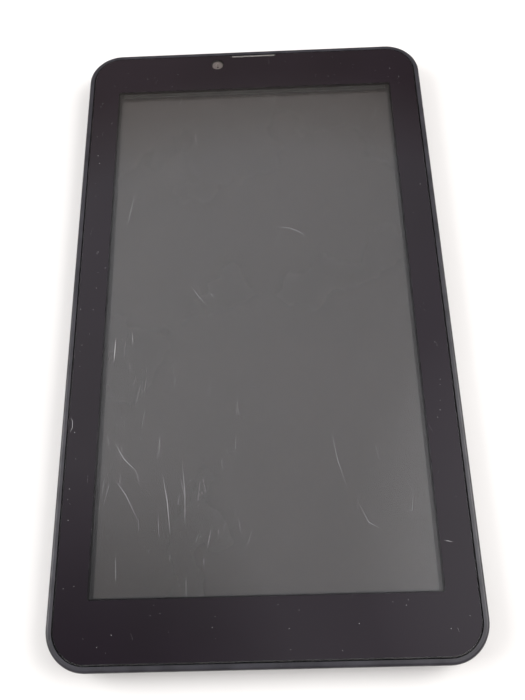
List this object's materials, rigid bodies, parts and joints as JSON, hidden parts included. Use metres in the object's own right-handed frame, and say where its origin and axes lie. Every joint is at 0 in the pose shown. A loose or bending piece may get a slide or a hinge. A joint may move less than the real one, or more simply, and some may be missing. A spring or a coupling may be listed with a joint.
{
  "type": "tablet computer",
  "caption": "Seven-inch tablet computer with earpiece, front camera, rear card cover and side keys, as an assembly of housing, display, board, battery and moving keys.",
  "frame": {"origin": "middle of the flat back face, on the surface the tablet lies on", "axes": "+Z out of the screen, +Y towards the end with the earpiece and the sockets, +X towards the side with the keys"},
  "size_m": [0.108, 0.188, 0.0102],
  "materials": {
    "case_plastic": "fine moulded texture, near-black with a blue cast, worn brighter along the rim",
    "frame_plastic": "black moulded plastic",
    "key_plastic": "smooth satin black",
    "cover_glass": "polished glass, printed black round the window, finely scratched and dusty",
    "clear_plastic": "clear polished plastic",
    "film": "white optical film",
    "polarizer": "grey polarizing film of a switched-off display",
    "steel": "bright rolled sheet",
    "circuit_board": "green solder mask",
    "chip_package": "moulded black epoxy",
    "socket_plastic": "black high-temperature plastic",
    "foam": "black closed-cell foam",
    "tape": "black double-sided tape",
    "flex_circuit": "amber polyimide film",
    "battery_foil": "silver laminated pouch",
    "red_insulation": "red soft wire insulation",
    "black_insulation": "black soft wire insulation",
    "woven_mesh": "fine woven metal mesh"
  },
  "bodies": {
    "tablet": {"rear_cover": "case_plastic", "front_frame": "frame_plastic", "touch_glass": "cover_glass", "glass_tape": "tape", "backlight_tray": "steel", "reflector_sheet": "film", "light_guide": "clear_plastic", "diffuser_sheet": "film", "display_cell": "cover_glass", "front_polarizer": "polarizer", "display_bezel": "steel", "display_gasket": "foam", "display_flex": "flex_circuit", "touch_flex": "flex_circuit", "display_connector": "socket_plastic", "touch_connector": "socket_plastic", "main_board": "circuit_board", "processor": "chip_package", "memory_chip": "chip_package", "storage_chip": "chip_package", "power_chip": "chip_package", "wifi_chip": "chip_package", "radio_shield": "steel", "sim_socket_1": "steel", "sim_socket_2": "steel", "memory_card_socket": "steel", "usb_socket": "steel", "headphone_socket": "socket_plastic", "power_switch": "steel", "volume_down_switch": "steel", "volume_up_switch": "steel", "battery_cell": "battery_foil", "battery_circuit": "circuit_board", "battery_lead_red": "red_insulation", "battery_lead_black": "black_insulation", "loudspeaker": "socket_plastic", "loudspeaker_gasket": "foam", "loudspeaker_lead": "red_insulation", "microphone": "steel", "microphone_lead": "black_insulation", "earpiece": "socket_plastic", "earpiece_grille": "woven_mesh", "front_camera": "socket_plastic", "rear_camera": "socket_plastic", "vibration_motor": "steel", "aerial": "flex_circuit", "aerial_lead": "black_insulation", "board_screw_1": "steel", "board_screw_2": "steel", "board_screw_3": "steel", "board_screw_4": "steel"},
    "power_key": {"power_button": "key_plastic", "power_plunger": "socket_plastic"},
    "volume_down_key": {"volume_down_button": "key_plastic", "volume_down_plunger": "socket_plastic"},
    "volume_up_key": {"volume_up_button": "key_plastic", "volume_up_plunger": "socket_plastic"},
    "card_lid": {"card_cover": "case_plastic", "rear_camera_window": "clear_plastic"},
    "motor_weight": {"vibration_weight": "steel"}
  },
  "joints": [
    {"name": "power_press", "type": "slide", "parent": "tablet", "child": "power_key", "axis": [-1, 0, 0], "range_m": [0, 0.00035], "stiffness_N_per_m": 6000},
    {"name": "volume_down_press", "type": "slide", "parent": "tablet", "child": "volume_down_key", "axis": [-1, 0, 0], "range_m": [0, 0.00035], "stiffness_N_per_m": 6000},
    {"name": "volume_up_press", "type": "slide", "parent": "tablet", "child": "volume_up_key", "axis": [-1, 0, 0], "range_m": [0, 0.00035], "stiffness_N_per_m": 6000},
    {"name": "card_cover_slide", "type": "slide", "parent": "tablet", "child": "card_lid", "axis": [0, 1, 0], "range_m": [0, 0.038]},
    {"name": "vibration_spin", "type": "hinge", "parent": "tablet", "child": "motor_weight", "pos_m": [-0.0385, -0.087, 0.0038], "axis": [1, 0, 0], "continuous": true}
  ]
}
